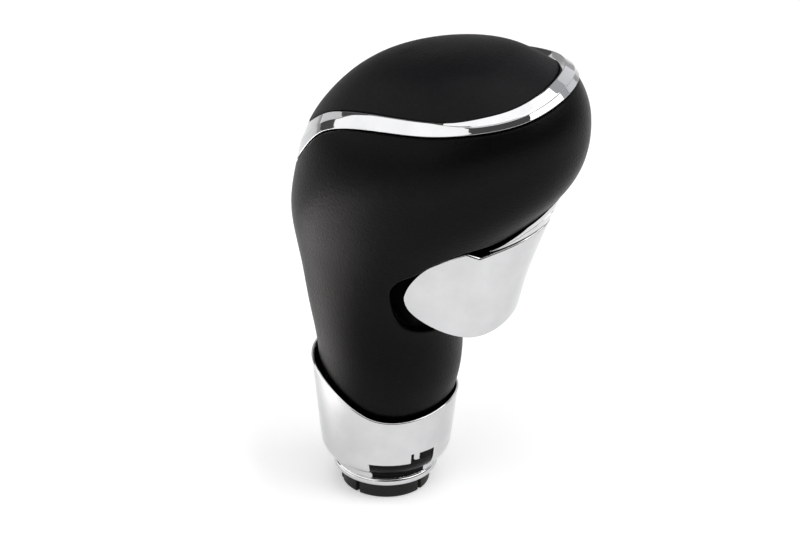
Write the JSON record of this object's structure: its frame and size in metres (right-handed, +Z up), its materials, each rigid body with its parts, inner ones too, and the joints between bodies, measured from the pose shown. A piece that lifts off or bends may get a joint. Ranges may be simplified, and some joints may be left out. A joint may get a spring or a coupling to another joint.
{
  "type": "gear shift knob",
  "caption": "Automatic gear selector knob: forward-leaning black grip on a bright tapered collar, bright trim ring round a domed cap, and a release trigger under the overhang.",
  "frame": {"origin": "on the lever axis, at the underside of the lock ring and the mouth of the lever sleeve", "axes": "+Z up along the lever, +X forward over the release trigger, +Y to the left seen from behind"},
  "size_m": [0.0729, 0.0548, 0.1228],
  "materials": {
    "skin": "fine matte soft-touch skin",
    "cap": "fine grained matte black",
    "chrome": "bright chrome plating on plastic",
    "bezel": "bright plated strip, slightly hazed",
    "lock": "black moulded nylon",
    "core": "black glass-filled moulding",
    "steel": "plain machined steel",
    "spring": "drawn spring steel",
    "mech": "natural acetal moulding",
    "stop": "black rubber"
  },
  "bodies": {
    "knob": {"grip_skin": "skin", "top_cap": "cap", "trim_ring": "chrome", "trigger_bezel": "bezel", "trigger_pin": "steel", "trigger_stop": "stop", "crank_pin": "steel", "rod_guide": "mech", "return_spring": "spring", "lever_sleeve": "steel", "lever_clip": "spring", "base_collar": "chrome", "lock_ring": "lock", "core_left": "core", "core_right": "core", "core_screws": "steel"},
    "trigger": {"trigger": "chrome", "trigger_carrier": "core", "carrier_screws": "steel"},
    "crank": {"crank_lever": "mech"},
    "rod": {"push_rod": "steel", "rod_button": "mech"}
  },
  "joints": [
    {"name": "trigger_squeeze", "type": "hinge", "parent": "knob", "child": "trigger", "pos_m": [0.0295, 0, 0.088], "axis": [0, 1, 0], "range_deg": [0, 10], "stiffness_Nm_per_rad": 0.6, "springref_deg": -20.05},
    {"name": "crank_turn", "type": "hinge", "parent": "knob", "child": "crank", "pos_m": [0.0085, 0, 0.084], "axis": [0, -1, 0], "range_deg": [0, 28.2]},
    {"name": "rod_push", "type": "slide", "parent": "knob", "child": "rod", "axis": [0, 0, -1], "range_m": [0, 0.00414], "deforming": ["return_spring"]}
  ],
  "couplings": [
    {"joint": "crank_turn", "follows": "trigger_squeeze", "ratio": 2.82},
    {"joint": "rod_push", "follows": "trigger_squeeze", "m_per_rad": 0.023728}
  ]
}
